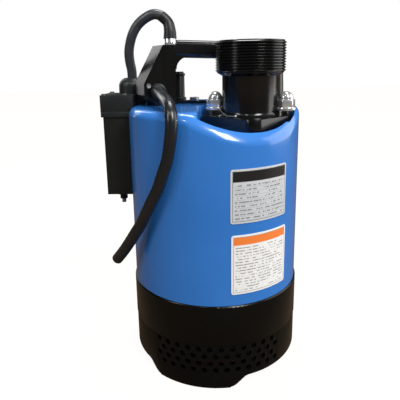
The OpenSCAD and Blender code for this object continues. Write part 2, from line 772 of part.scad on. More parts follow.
module handle() {
    post = [BAR_B[0], BAR_B[1], rest_z];
    post_top = bar_top - norm(BAR_B - BAR_A)*tan(bar_tilt);
    across = BAR_B - BAR_A;
    color("#17191b") difference() {
        union() {
            translate([LEG[0], LEG[1], 0]) rotate(leg_turn) translate([0, leg_t, 0]) rotate([90, 0, 0])
                linear_extrude(leg_t) polygon([[-4, rest_z + 7], [-4, rest_z + 24], [19.5, leg_top],
                    [leg_w, leg_top], [leg_w, rest_z], [10, rest_z], [3, rest_z + 7]]);
            bar(BAR_A, BAR_B, bar_top, bar_w, bar_h, bar_tilt);
            translate([BAR_A[0], BAR_A[1], bar_top - bar_h - crook_r]) rotate([0, 0, atan2(across[1], across[0])])
                crook();
            hull() {
                translate(post) cylinder(r = post_r + 1.5, h = 2, $fn = 32);
                translate([BAR_B[0], BAR_B[1], post_top - bar_h - 8]) cylinder(r = post_r, h = 1, $fn = 32);
            }
            translate([BAR_B[0], BAR_B[1], post_top - bar_h - 8]) cylinder(r = post_r, h = bar_h + 8, $fn = 48);
            translate([-58, strap_y, rest_z]) cube([BAR_B[0] + 58, strap_w, strap_t]);
        }
        translate([DUCT[0], DUCT[1], rest_z - cut]) cylinder(r = duct_r - 3, h = cut + 12, $fn = 48);
        translate(SUPPLY_GLAND) rotate([90, 0, 0]) cylinder(r = gland_r + rest_gap, h = 2*gland_len);
        translate([SIGNAL_GLAND[0], SIGNAL_GLAND[1], leg_top]) cylinder(r = 8 + rest_gap, h = 4*cut);
        for (b = BOLTS) translate([b[0], b[1], rest_z - cut]) cylinder(r = 3.2, h = 3*cut, $fn = 32);
    }
}

// The round inner corner between the left leg and the bar
module crook() {
    difference() {
        translate([0, -bar_w/2 + 1, 0]) cube([crook_x, bar_w - 2, crook_r + 4]);
        translate([crook_x, 0, 0]) rotate([90, 0, 0]) cylinder(r = crook_r, h = 2*bar_w, center = true);
    }
}

module handle_bolts() {
    color("silver") for (b = BOLTS) translate([b[0], b[1], rest_z + strap_t]) hex_bolt(3, strap_t + 6, 5.5, 4);
}

module leg_plug() {
    color("#55595c") translate([LEG[0], LEG[1], 0]) rotate(leg_turn) translate([1, 0, rest_z + 22])
        rotate([90, 0, 0]) cylinder(r = 2.6, h = 1.6, $fn = 32);
}

module vent_body() {
    color("#17191b") translate([VENT[0], VENT[1], vent_z]) {
        difference() {
            union() {
                cylinder(r = 7.5, h = 6);
                cylinder(r = 5.8, h = 31);
            }
            translate([0, 0, -cut]) cylinder(r = vent_bore - 1.4, h = 20);
            translate([0, 0, 10]) cylinder(r = vent_bore, h = 30);
        }
    }
}

module vent_cap() {
    color("#222527") translate([VENT[0], VENT[1], vent_z + 31]) {
        difference() {
            union() {
                cylinder(r = 6.6, h = 3);
                cylinder(r = 5, h = 5);
            }
            translate([0, 0, -eps]) cylinder(r = vent_bore - 1, h = 2);
        }
    }
}

module vent_ball() {
    color("silver") translate([VENT[0], VENT[1], vent_z + 10 + vent_ball_r + 0.3]) sphere(r = vent_ball_r, $fn = 32);
}

module supply_gland() {
    end_r = supply_d/2 + 0.6;
    color("#202325") translate(SUPPLY_GLAND) rotate([90, 0, 0]) rotate_extrude()
        polygon([[0, 0], [gland_r, 0], [gland_r, gland_len - 5], [end_r + 1, gland_len - 4], [end_r, gland_len],
            [0, gland_len]]);
}

module signal_gland() {
    color("silver") translate(SIGNAL_GLAND) {
        cylinder(r = 8, h = 3, $fn = 6);
        translate([0, 0, 3 - eps]) cylinder(r = 6.8, h = 4 + eps);
    }
}

// ---- relay

module relay_case() {
    color("#20272a") translate([relay_x, relay_y, 0]) {
        difference() {
            union() {
                translate([2, 2, relay_z]) cube([relay_t - 2, relay_w - 4, relay_joint - relay_z - 1.5]);
                translate([0, 0, relay_joint - 1.5 - joint_h]) cube([relay_t, relay_w, joint_h]);
                translate([relay_t/2, relay_w/2, relay_z - 5]) cylinder(r = 8, h = 6);
            }
            translate([2 + relay_wall, 2 + relay_wall, relay_z + relay_wall])
                cube([relay_t - 2 - 2*relay_wall, relay_w - 4 - 2*relay_wall, relay_joint]);
            translate([relay_t/2, relay_w/2, relay_z - 2*cut]) cylinder(r = 4.5, h = 4*cut, $fn = 48);
            relay_screw_holes();
        }
    }
}

module relay_screw_holes() {
    for (place = SCREWS) translate([place[0], place[1], relay_joint - joint_h - 1.5 - cut])
        cylinder(r = 1.2, h = 40, $fn = 24);
}

module relay_gasket() {
    color("#101010") translate([relay_x, relay_y, relay_joint - 1.5]) difference() {
        cube([relay_t, relay_w, 1.5]);
        translate([5, 5, -cut]) cube([relay_t - 10, relay_w - 10, 3*cut]);
        translate([0, 0, 1.5 - relay_joint]) relay_screw_holes();
    }
}

module relay_lid() {
    color("#20272a") difference() {
        union() {
            translate([relay_x, relay_y, relay_joint]) cube([relay_t, relay_w, relay_top - relay_joint]);
            translate([relay_x, relay_y, relay_top - wing_t]) cube([relay_t + 5, relay_w, wing_t]);
            translate([relay_x, relay_y + 19, relay_top - wing_t]) cube([relay_t + 16, relay_w - 19, wing_t]);
        }
        translate([relay_x + relay_wall, relay_y + relay_wall + 3, relay_joint - cut])
            cube([relay_t - 2*relay_wall, relay_w - 2*relay_wall - 6, cut + relay_top - relay_joint - relay_wall]);
        translate([relay_x, relay_y, 0]) relay_screw_holes();
        can(shell_r + rest_gap, 0, shell_top + rest_gap, shoulder_r);
    }
}

module relay_lid_screws() {
    color("silver") translate([relay_x, relay_y, relay_top])
        for (place = SCREWS) translate([place[0], place[1], 0]) {
            translate([0, 0, relay_joint - joint_h - relay_top])
                cylinder(r = 1.2, h = relay_top - relay_joint + joint_h, $fn = 24);
            cylinder(r = 2.6, h = 1.5, $fn = 24);
        }
}

module relay_board() {
    side = 2 + relay_wall;
    color("#2f6b3c") translate([relay_x + relay_t/2 - 1, relay_y + side, relay_z + 28]) {
        cube([1.6, relay_w - 2*side, 56]);
        translate([-6, 6, 30]) cube([6, 16, 18]);
    }
}

module relay_cable_entry() {
    color("#1c2022") translate([DOME[0], DOME[1], relay_top])
        can(dome_r, 0, dome_h, dome_r - signal_d/2 - 1);
}

module relay_bracket() {
    color("#17191b") difference() {
        translate([relay_x + relay_t, relay_y + 16, relay_z + 10]) cube([bracket_t, 18, 70]);
        cylinder(r = shell_r, h = shell_top);
    }
}

module electrode_rod() {
    color("silver") translate([relay_x + relay_t/2, relay_y + relay_w/2, relay_z - 16]) cylinder(r = rod_r, h = 40);
}

module electrode_insulator() {
    color("#101010") translate([relay_x + relay_t/2, relay_y + relay_w/2, relay_z - 11]) ring(4.5, rod_r, 20);
}

// ---- plates and cables

// A thin plate bent to the shell, from angle a to angle b and height low to high
module shell_plate(a, b, low, high) {
    translate([0, 0, low]) rotate(a - 90) rotate_extrude(angle = b - a) translate([shell_r, 0]) square([0.6, high - low]);
}

module data_plate() {
    color("#dfe2e4") shell_plate(9.5, 50.5, DATA_Z[0], DATA_Z[1]);
}

module notice_plate() {
    color("#f0efea") shell_plate(10, 51.5, NOTICE_Z[0], NOTICE_Z[1]);
}

module supply_cord() {
    color("#1b1d1f") tube(curve(SUPPLY_ROUTE, 3), supply_d, [1, 0, 0.2]);
}

module supply_cord_cores() {
    end = SUPPLY_ROUTE[len(SUPPLY_ROUTE) - 1];
    dir = unit(end - SUPPLY_ROUTE[len(SUPPLY_ROUTE) - 2]);
    color("#b5713a") for (k = [0 : 2]) translate(end) rotate([0, acos(dir[2]), atan2(dir[1], dir[0])])
        rotate(120*k) translate([2.4, 0, 0]) cylinder(r = 1.4, h = 2, $fn = 24);
}

module signal_cable() {
    color("#2a2d30") tube(curve(SIGNAL_ROUTE, 4), signal_d, [0, 1, 0.1]);
}

strainer();
base_ring();
outer_shell();
suction_cover();
pump_casing();
cover_screws();
casing_bolts();
oil_casing();
oil_plug();
seal_seat();
motor_frame();
lower_bearing_outer();
upper_bearing_outer();
stator_core();
stator_windings();
motor_head();
run_capacitor();
thermal_protector();
head_cover();
head_screws();
frame_seals();
discharge_gasket();
discharge_pipe();
discharge_studs();
discharge_washers();
discharge_cap_nuts();
handle();
handle_bolts();
leg_plug();
vent_body();
vent_cap();
supply_gland();
signal_gland();
cable_duct();
relay_case();
relay_lid();
relay_gasket();
relay_board();
relay_cable_entry();
relay_bracket();
relay_lid_screws();
electrode_rod();
electrode_insulator();
data_plate();
notice_plate();
supply_cord();
supply_cord_cores();
signal_cable();
shaft();
rotor_core();
impeller();
impeller_nut();
bearing_inner_rings();
seal_ring();
seal_spring();
lower_bearing_balls();
upper_bearing_balls();
vent_ball();
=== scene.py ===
"""Looks of the submersible sump pump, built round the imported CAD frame. Lengths are in metres."""
import json
import math

import bmesh
import bpy
from mathutils import Matrix, Vector


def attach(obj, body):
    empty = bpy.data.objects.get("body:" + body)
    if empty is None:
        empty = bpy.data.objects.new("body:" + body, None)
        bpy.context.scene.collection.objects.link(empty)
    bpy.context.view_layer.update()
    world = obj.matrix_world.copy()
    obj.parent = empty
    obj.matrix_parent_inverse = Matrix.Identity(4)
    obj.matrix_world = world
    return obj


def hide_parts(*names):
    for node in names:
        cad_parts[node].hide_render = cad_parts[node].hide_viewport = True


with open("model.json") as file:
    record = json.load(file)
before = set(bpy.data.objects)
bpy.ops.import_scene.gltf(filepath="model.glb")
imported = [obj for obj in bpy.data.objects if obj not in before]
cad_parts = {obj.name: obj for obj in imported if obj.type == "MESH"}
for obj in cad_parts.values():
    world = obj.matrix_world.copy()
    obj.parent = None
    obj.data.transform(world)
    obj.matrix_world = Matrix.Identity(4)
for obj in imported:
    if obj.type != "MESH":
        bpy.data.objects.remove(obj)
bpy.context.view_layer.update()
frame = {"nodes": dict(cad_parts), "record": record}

MM = 0.001
PIXELS = 400          # width and height of the photograph's frame
SENSOR = 36.0         # camera sensor width, mm

# ---- camera: fitted to the curves of the body
CAMERA_DISTANCE = 0.500
CAMERA_HEIGHT = 0.3322
CAMERA_PAN = math.radians(1.84)
CAMERA_PITCH = math.radians(13.24)
CAMERA_ROLL = math.radians(0.91)
FOCAL_PIXELS = 446.1
AXIS_ROW = 170        # picture row of the optical axis


def add_camera():
    data = bpy.data.cameras.new("camera")
    data.sensor_width = SENSOR
    data.lens = FOCAL_PIXELS / PIXELS * SENSOR
    data.shift_y = (AXIS_ROW - PIXELS / 2) / PIXELS
    data.clip_start = 0.01
    camera = bpy.data.objects.new("camera", data)
    bpy.context.scene.collection.objects.link(camera)
    right = Vector((math.cos(CAMERA_PAN), math.sin(CAMERA_PAN), 0))
    forward = Vector((-math.sin(CAMERA_PAN) * math.cos(CAMERA_PITCH),
                      math.cos(CAMERA_PAN) * math.cos(CAMERA_PITCH), -math.sin(CAMERA_PITCH)))
    up = right.cross(forward)
    turned_right = right * math.cos(CAMERA_ROLL) - up * math.sin(CAMERA_ROLL)
    turned_up = right * math.sin(CAMERA_ROLL) + up * math.cos(CAMERA_ROLL)
    turn = Matrix((turned_right, turned_up, -forward)).transposed()
    camera.matrix_world = Matrix.Translation((0, -CAMERA_DISTANCE, CAMERA_HEIGHT)) @ turn.to_4x4()
    bpy.context.scene.camera = camera


# ---- material helpers
class Nodes:
    """A material's node tree with short calls for the nodes used here."""

    def __init__(self, name):
        self.material = bpy.data.materials.new(name)
        self.material.use_nodes = True
        self.tree = self.material.node_tree
        self.shader = self.tree.nodes["Principled BSDF"]

    def add(self, kind, **settings):
        node = self.tree.nodes.new(kind)
        for key, value in settings.items():
            setattr(node, key, value)
        return node

    def link(self, source, target):
        self.tree.links.new(source, target)

    def place(self):
        return self.add("ShaderNodeTexCoord").outputs["Object"]

    def math(self, operation, a, b=None, clamp=False):
        node = self.add("ShaderNodeMath", operation=operation, use_clamp=clamp)
        for socket, value in zip(node.inputs, (a, b)):
            if value is None:
                continue
            if isinstance(value, (int, float)):
                socket.default_value = value
            else:
                self.link(value, socket)
        return node.outputs[0]

    def noise(self, scale, detail=3.0, roughness=0.5, stretch=None):
        place = self.place()
        if stretch:
            mapping = self.add("ShaderNodeMapping")
            mapping.inputs["Scale"].default_value = stretch
            self.link(place, mapping.inputs["Vector"])
            place = mapping.outputs[0]
        node = self.add("ShaderNodeTexNoise")
        self.link(place, node.inputs["Vector"])
        node.inputs["Scale"].default_value = scale
        node.inputs["Detail"].default_value = detail
        node.inputs["Roughness"].default_value = roughness
        return node.outputs["Fac"]

    def ramp(self, factor, *stops):
        node = self.add("ShaderNodeValToRGB")
        self.link(factor, node.inputs[0])
        ramp = node.color_ramp
        while len(ramp.elements) < len(stops):
            ramp.elements.new(0.5)
        for element, (position, colour) in zip(ramp.elements, stops):
            element.position = position
            element.color = (*colour, 1) if len(colour) == 3 else colour
        return node.outputs[0]

    def mix(self, factor, a, b):
        node = self.add("ShaderNodeMix", data_type="RGBA")
        for socket, value in ((node.inputs[0], factor), (node.inputs[6], a), (node.inputs[7], b)):
            if isinstance(value, tuple):
                socket.default_value = (*value, 1)
            elif isinstance(value, (int, float)):
                socket.default_value = value
            else:
                self.link(value, socket)
        return node.outputs[2]

    def bump(self, height, strength, distance):
        node = self.add("ShaderNodeBump")
        node.inputs["Strength"].default_value = strength
        node.inputs["Distance"].default_value = distance
        self.link(height, node.inputs["Height"])
        self.link(node.outputs[0], self.shader.inputs["Normal"])

    def set(self, **values):
        for key, value in values.items():
            self.shader.inputs[key.replace("_", " ")].default_value = value

    def colour(self, source):
        self.link(source, self.shader.inputs["Base Color"])

    def roughness(self, source):
        self.link(source, self.shader.inputs["Roughness"])


def shade(colour, factor):
    return tuple(channel * factor for channel in colour)


def finish_material(name, colour, rough, spread=0.25, grain=400, bump=0.08, depth=0.0002, metallic=0.0,
                    specular=0.5, stretch=None):
    """A surface whose colour and roughness drift with two scales of noise, with a fine bump."""
    nodes = Nodes(name)
    drift = nodes.noise(18, 4.0, 0.6)
    fine = nodes.noise(grain, 2.0, 0.5, stretch)
    nodes.colour(nodes.ramp(drift, (0.3, shade(colour, 1 - spread)), (0.7, shade(colour, 1 + spread))))
    nodes.roughness(nodes.ramp(fine, (0.2, (rough * 0.85,) * 3), (0.8, (min(1.0, rough * 1.2),) * 3)))
    nodes.bump(fine, bump, depth)
    nodes.set(Metallic=metallic, Specular_IOR_Level=specular)
    return nodes.material


def blue_paint():
    """Glossy blue paint: slight orange peel, a little drift in tone and faint scuffs."""
    nodes = Nodes("blue_paint")
    drift = nodes.noise(7, 3.0, 0.5)
    peel = nodes.noise(260, 2.0, 0.5)
    scuff = nodes.noise(60, 5.0, 0.65, (1, 1, 0.5))
    base = nodes.ramp(drift, (0.3, (0.024, 0.158, 0.50)), (0.7, (0.034, 0.186, 0.57)))
    worn = nodes.ramp(scuff, (0.74, (0, 0, 0)), (0.82, (0.08, 0.08, 0.08)))
    nodes.colour(nodes.mix(worn, base, (0.16, 0.30, 0.60)))
    nodes.roughness(nodes.ramp(scuff, (0.3, (0.17,) * 3), (0.8, (0.28,) * 3)))
    nodes.bump(peel, 0.05, 0.0002)
    nodes.set(Coat_Weight=0.5, Coat_Roughness=0.05, Specular_IOR_Level=0.5)
    return nodes.material


# ---- the two plates on the shell: material slot, start and end angle, bottom and top in millimetres
PLATE_RADIUS = 93.6
PLATE_CORNER = 2.5
PLATE_SHEET = 0.4
PLATES = {"data_plate": ("plate_metal", 9.5, 50.5, 182, 236),
          "notice_plate": ("plate_white", 10, 51.5, 107, 170)}
PLATE_EDGE = (0.0018, 0.0024)      # outer and inner edge of the border line
PLATE_MARGIN = 0.0042              # beside the rows
PLATE_FOOT = 0.003                 # under the rows
PLATE_INK = (0.045, 0.045, 0.05)


def plate_material(name, plate, face, header, header_height, rows, rules, border_tone):
    """A printed plate on the shell: header band, border line and rows of plain dashes, no words."""
    start, end, low, high = PLATES[plate][1:]
    nodes = Nodes(name)
    split = nodes.add("ShaderNodeSeparateXYZ")
    nodes.link(nodes.place(), split.inputs[0])
    x, y, z = split.outputs
    angle = nodes.math("ARCTAN2", x, nodes.math("MULTIPLY", y, -1.0))
    across = nodes.math("MULTIPLY", nodes.math("SUBTRACT", angle, math.radians(start)), PLATE_RADIUS * MM)
    up = nodes.math("SUBTRACT", z, low * MM)
    tall = (high - low) * MM
    wide = math.radians(end - start) * PLATE_RADIUS * MM

    def band(value, a, b):
        return nodes.math("MULTIPLY", nodes.math("GREATER_THAN", value, a), nodes.math("LESS_THAN", value, b))

    def frame_of(margin):
        return nodes.math("MULTIPLY", band(across, margin, wide - margin), band(up, margin, tall - margin))

    core = frame_of(PLATE_EDGE[1])
    border = nodes.math("SUBTRACT", frame_of(PLATE_EDGE[0]), core)
    top_band = nodes.math("MULTIPLY", core, nodes.math("GREATER_THAN", up, tall - header_height))
    field_tall = tall - header_height - 1.5 * PLATE_FOOT
    place = nodes.math("DIVIDE", nodes.math("SUBTRACT", up, PLATE_FOOT), field_tall)
    row = nodes.math("FRACT", nodes.math("MULTIPLY", place, float(rows)))
    field = nodes.math("MULTIPLY", band(across, PLATE_MARGIN, wide - PLATE_MARGIN), band(place, 0.0, 1.0))
    words = nodes.math("GREATER_THAN", nodes.noise(420, 1.0, 0.5, (1, 1, 0.55)), 0.455)
    blanks = nodes.math("GREATER_THAN", nodes.noise(95, 1.0, 0.5, (1, 1, 1.3)), 0.40)
    dashes = nodes.math("MULTIPLY", nodes.math("MULTIPLY", band(row, 0.34, 0.66), field),
                        nodes.math("MULTIPLY", words, blanks))
    rule = nodes.math("MULTIPLY", nodes.math("MULTIPLY", band(row, 0.0, 0.07), field), rules)
    speck = nodes.noise(300, 2.0)
    ground = nodes.ramp(speck, (0.3, shade(face, 0.95)), (0.7, face))
    ink = nodes.math("MAXIMUM", nodes.math("MULTIPLY", dashes, 0.72), rule)
    colour = nodes.mix(ink, ground, PLATE_INK)
    colour = nodes.mix(nodes.math("MULTIPLY", border, border_tone), colour, (0.03, 0.03, 0.03))
    nodes.colour(nodes.mix(top_band, colour, header))
    nodes.roughness(nodes.ramp(speck, (0.3, (0.30,) * 3), (0.7, (0.40,) * 3)))
    return nodes.material


# ---- one material for each slot of the record, made when a piece first needs it
MATERIALS = {
    "black_base": lambda: finish_material("moulded_black", (0.0018, 0.0022, 0.0022), 0.20, grain=160,
                                          bump=0.02, specular=0.3),
    "blue_shell": blue_paint,
    "red_urethane": lambda: finish_material("red_urethane", (0.36, 0.045, 0.035), 0.5, grain=300),
    "dark_iron": lambda: finish_material("cast_iron", (0.05, 0.053, 0.057), 0.6, grain=500, bump=0.3,
                                         metallic=0.5),
    "steel": lambda: finish_material("turned_steel", (0.50, 0.51, 0.52), 0.32, spread=0.1, grain=900,
                                     metallic=1.0, stretch=(1, 1, 8)),
    "seal_ceramic": lambda: finish_material("ceramic", (0.70, 0.66, 0.55), 0.3, spread=0.06),
    "motor_aluminium": lambda: finish_material("cast_aluminium", (0.36, 0.37, 0.38), 0.45, spread=0.12,
                                               grain=600, bump=0.2, metallic=0.9),
    "bearing_steel": lambda: finish_material("ground_steel", (0.58, 0.59, 0.60), 0.22, spread=0.06,
                                             metallic=1.0, stretch=(1, 1, 6)),
    "core_steel": lambda: finish_material("stacked_laminations", (0.24, 0.24, 0.25), 0.42, spread=0.1,
                                          grain=60, bump=0.5, metallic=0.8, stretch=(0.1, 0.1, 40)),
    "copper": lambda: finish_material("varnished_copper", (0.55, 0.20, 0.08), 0.35, grain=250, bump=0.6,
                                      depth=0.0006, metallic=0.7),
    "cream_plastic": lambda: finish_material("cream_can", (0.66, 0.63, 0.54), 0.4, spread=0.06),
    "black_plastic": lambda: finish_material("black_moulding", (0.006, 0.0065, 0.007), 0.34, grain=500),
    "black_rubber": lambda: finish_material("black_rubber", (0.008, 0.009, 0.011), 0.42, grain=350, bump=0.1),
    "black_iron": lambda: finish_material("coated_black", (0.003, 0.0032, 0.0032), 0.20, grain=700,
                                          specular=0.6),
    "chrome": lambda: finish_material("plated_steel", (0.86, 0.87, 0.88), 0.17, spread=0.05, grain=300,
                                      bump=0.02, metallic=0.8),
    "relay_plastic": lambda: finish_material("relay_moulding", (0.010, 0.014, 0.014), 0.40, grain=420,
                                             bump=0.1),
    "board_green": lambda: finish_material("circuit_board", (0.03, 0.18, 0.06), 0.35, grain=90, bump=0.3),
    "plate_metal": lambda: plate_material("data_plate_print", "data_plate", (0.55, 0.57, 0.59),
                                          (0.010, 0.010, 0.011), 0.0125, 9, 0.55, 0.75),
    "plate_white": lambda: plate_material("notice_plate_print", "notice_plate", (0.80, 0.80, 0.79),
                                          (0.80, 0.20, 0.04), 0.0105, 16, 0.0, 0.6),
    "cord_black": lambda: finish_material("cord_sheath", (0.008, 0.0095, 0.012), 0.28, grain=500, bump=0.02,
                                          specular=0.7),
    "cord_grey": lambda: finish_material("cable_sheath", (0.026, 0.030, 0.036), 0.38, grain=500, bump=0.02,
                                         specular=0.9),
    "impeller_urethane": lambda: finish_material("impeller_rubber", (0.03, 0.032, 0.034), 0.45, grain=300),
}
made = {}


def slot_material(slot):
    if slot not in made:
        made[slot] = MATERIALS[slot]()
    return made[slot]


SLOT_OF = {entry["node"]: entry["material_slot"] for entry in frame["record"]["subparts"]}


def dress(piece, slot):
    piece.data.materials.clear()
    piece.data.materials.append(slot_material(slot))


# ---- cords: the same routes as the CAD tubes, in millimetres
SUPPLY_ROUTE = [(-60, -14, 304), (-57, -27, 304), (-53, -41, 303), (-49, -56, 301), (-45, -70, 299),
                (-41, -83, 295), (-39, -91, 287), (-39, -93, 275), (-41, -92, 260), (-44, -91, 245),
                (-49, -89, 231), (-54, -86, 217), (-61, -82, 203), (-68, -78, 189), (-75, -72, 175),
                (-83, -67, 162), (-91, -60, 149), (-99, -54, 137), (-107, -47, 126)]
SIGNAL_ROUTE = [(-47, 9, 361), (-47, 9, 369), (-49, 10, 378), (-56, 11, 385), (-65, 13, 387),
                (-75, 15, 383), (-84, 18, 376), (-90, 20, 367), (-94, 23, 357), (-96, 25, 347),
                (-96, 28, 337), (-95, 31, 328), (-95, 33, 319)]
SUPPLY_DIAMETER = 0.012
SIGNAL_DIAMETER = 0.011


def smooth_route(route, steps=6):
    """Catmull-Rom curve through the route, in metres."""
    points = [Vector(point) * MM for point in route]
    count = len(points)
    result = []
    for i in range(count - 1):
        a, b = points[max(i - 1, 0)], points[i]
        c, d = points[i + 1], points[min(i + 2, count - 1)]
        for step in range(steps):
            t = step / steps
            result.append(0.5 * (2 * b + (c - a) * t + (2 * a - 5 * b + 4 * c - d) * t * t
                                 + (3 * b - 3 * c + d - a) * t ** 3))
    result.append(points[-1])
    return result


def cord_curve(name, route, diameter, slot):
    data = bpy.data.curves.new(name, "CURVE")
    data.dimensions = "3D"
    data.bevel_depth = diameter / 2
    data.bevel_resolution = 6
    data.use_fill_caps = True
    points = smooth_route(route)
    spline = data.splines.new("POLY")
    spline.points.add(len(points) - 1)
    for target, point in zip(spline.points, points):
        target.co = (*point, 1)
    spline.use_smooth = True
    piece = bpy.data.objects.new(name, data)
    bpy.context.scene.collection.objects.link(piece)
    dress(piece, slot)
    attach(piece, "pump_body")
    return piece, sum((b - a).length for a, b in zip(points, points[1:]))


def add_cords():
    supply, supply_length = cord_curve("supply_cord_sheath", SUPPLY_ROUTE, SUPPLY_DIAMETER, "cord_black")
    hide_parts("supply_cord")
    signal, signal_length = cord_curve("signal_cable_sheath", SIGNAL_ROUTE, SIGNAL_DIAMETER, "cord_grey")
    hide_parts("signal_cable")


# ---- mesh helpers
def sleeve_mesh(name, line, radii, sides=32):
    """A round skin along a line of points, with a radius at each point and closed ends."""
    vertices = []
    side = Vector((0, 1, 0))
    for i, point in enumerate(line):
        heading = (line[min(i + 1, len(line) - 1)] - line[max(i - 1, 0)]).normalized()
        u = heading.cross(side).normalized()
        v = heading.cross(u)
        for k in range(sides):
            turn = 2 * math.pi * k / sides
            vertices.append(point + radii[i] * (math.cos(turn) * u + math.sin(turn) * v))
    faces = [tuple(range(sides)), tuple(len(vertices) - 1 - k for k in range(sides))]
    for i in range(len(line) - 1):
        for k in range(sides):
            m = (k + 1) % sides
            faces.append((i * sides + m, i * sides + k, (i + 1) * sides + k, (i + 1) * sides + m))
    mesh = bpy.data.meshes.new(name)
    mesh.from_pydata(vertices, [], faces)
    work = bmesh.new()
    work.from_mesh(mesh)
    bmesh.ops.recalc_face_normals(work, faces=work.faces)
    work.to_mesh(mesh)
    work.free()
    return mesh


BOOT_POINTS = 4                    # points of the signal route that the boot covers
BOOT_RADIUS = 0.0074
BOOT_TAPER = 0.0016
BOOT_TIP = 0.00575


def add_boot():
    """The soft sleeve that narrows from the silver gland up the signal cable."""
    line = smooth_route(SIGNAL_ROUTE[:BOOT_POINTS], 8)
    count = len(line) - 1
    radii = [BOOT_RADIUS - BOOT_TAPER * min(1.0, 1.4 * i / count) for i in range(count + 1)]
    radii[-1] = BOOT_TIP
    mesh = sleeve_mesh("boot", line, radii)
    smooth_by_angle(mesh, 50)
    new_piece("signal_boot", mesh, "black_rubber")


def new_piece(name, mesh, slot):
    piece = bpy.data.objects.new(name, mesh)
    bpy.context.scene.collection.objects.link(piece)
    dress(piece, slot)
    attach(piece, "pump_body")
    return piece


def smooth_by_angle(mesh, degrees):
    """Shades smooth, with sharp edges where faces meet at more than the angle."""
    limit = math.radians(degrees)
    work = bmesh.new()
    work.from_mesh(mesh)
    for face in work.faces:
        face.smooth = True
    for edge in work.edges:
        edge.smooth = len(edge.link_faces) == 2 and edge.calc_face_angle(0) < limit
    work.to_mesh(mesh)
    work.free()


def bake(piece, slot, angle):
    """Turns the piece's modifiers into its mesh."""
    evaluated = piece.evaluated_get(bpy.context.evaluated_depsgraph_get())
    baked = bpy.data.meshes.new_from_object(evaluated)
    piece.modifiers.clear()
    piece.data = baked
    smooth_by_angle(baked, angle)
    dress(piece, slot)


WELD = 0.00002                     # vertices closer than this are one
FLAT_ANGLE = 0.6                   # edges flatter than this are dissolved, degrees
CORNER_ANGLE = 32                  # edges sharper than this are rounded, degrees


def softened(node, width):
    """A copy of a CAD node with its corners rounded, which stands for the node."""
    mesh = frame["nodes"][node].data.copy()
    work = bmesh.new()
    work.from_mesh(mesh)
    bmesh.ops.remove_doubles(work, verts=work.verts, dist=WELD)
    bmesh.ops.dissolve_limit(work, angle_limit=math.radians(FLAT_ANGLE), verts=work.verts, edges=work.edges)
    work.to_mesh(mesh)
    work.free()
    slot = SLOT_OF[node]
    piece = new_piece(node + "_finished", mesh, slot)
    bevel = piece.modifiers.new("round", "BEVEL")
    bevel.width = width
    bevel.segments = 2
    bevel.limit_method = "ANGLE"
    bevel.angle_limit = math.radians(CORNER_ANGLE)
    bevel.use_clamp_overlap = True
    bake(piece, slot, 40)
    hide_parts(node)


# ---- the thin wire from the left nut to a bead on the discharge flange, in millimetres
WIRE_ROUTE = [(5, -21, 290), (7, -29, 286), (10, -37, 283), (15, -45, 281.2), (22, -50.5, 281.3)]
WIRE_RADIUS = 0.0005
BEAD_RADIUS = 0.0015


def add_lock_wire():
    line = smooth_route(WIRE_ROUTE)
    mesh = sleeve_mesh("lock_wire", line, [WIRE_RADIUS] * len(line), 10)
    work = bmesh.new()
    work.from_mesh(mesh)
    bmesh.ops.create_uvsphere(work, u_segments=20, v_segments=12, radius=BEAD_RADIUS,
                              matrix=Matrix.Translation(line[-1]))
    work.to_mesh(mesh)
    work.free()
    smooth_by_angle(mesh, 50)
    new_piece("lock_wire", mesh, "steel")


# ---- the blue shell, as one pressed sheet with round shoulders
SHELL_RADIUS = 93.5
SHELL_BASE = 92.0
SHELL_TOP = 289.0
SHOULDER = 9.0
SEAT = 264.0
OUTLET = (39.0, -21.0)
SEAT_HALF = 42.0
SEAT_CORNER = 14.0
SEAT_SIDE = 52.9
RIM_TURN = math.radians(30)
RIM_START = 60.0
RIM_SLOPE = math.tan(math.radians(36))
RIM_INSIDE = 86.0
RIM_LIMIT = 88.0
STUDS = [(36.7, -7.8), (-36.7, 7.8)]      # from the outlet's centre
LOBE = 15.0                        # radius of the seat round each stud
SHEET = 2.3
BORE_OPENING = 27.5
HIGH_TOP = 280.0                   # only the shell's flat top lies above this
ROLL = 3.0                         # width of the rim's and the seat's soft bends


def soft_step(value, width):
    t = min(1.0, max(0.0, value / width + 0.5))
    return t * t * (3 - 2 * t)


def softplus(value, width):
    if value > 12 * width:
        return value
    return width * math.log1p(math.exp(value / width))


def shell_height(x, y):
    """Height of the shell's top surface at a place, in millimetres."""
    along = x * math.sin(RIM_TURN) - y * math.cos(RIM_TURN)
    height = SHELL_TOP - RIM_SLOPE * softplus(along - RIM_START, ROLL)
    dx, dy = x - OUTLET[0], y - OUTLET[1]
    u = abs(dx - dy) / math.sqrt(2) - SEAT_HALF + SEAT_CORNER
    v = abs(dx + dy) / math.sqrt(2) - SEAT_HALF + SEAT_CORNER
    square = SEAT_CORNER - math.hypot(max(u, 0.0), max(v, 0.0)) - min(max(u, v), 0.0)
    front = min(SEAT_SIDE - abs(dx), -dy, RIM_INSIDE - math.hypot(x, y))
    lobes = max(LOBE - math.hypot(dx - stud[0], dy - stud[1]) for stud in STUDS)
    inside = max(min(max(square, lobes), RIM_LIMIT - math.hypot(x, y)), front)
    return height + (min(SEAT, height) - height) * soft_step(inside, ROLL)


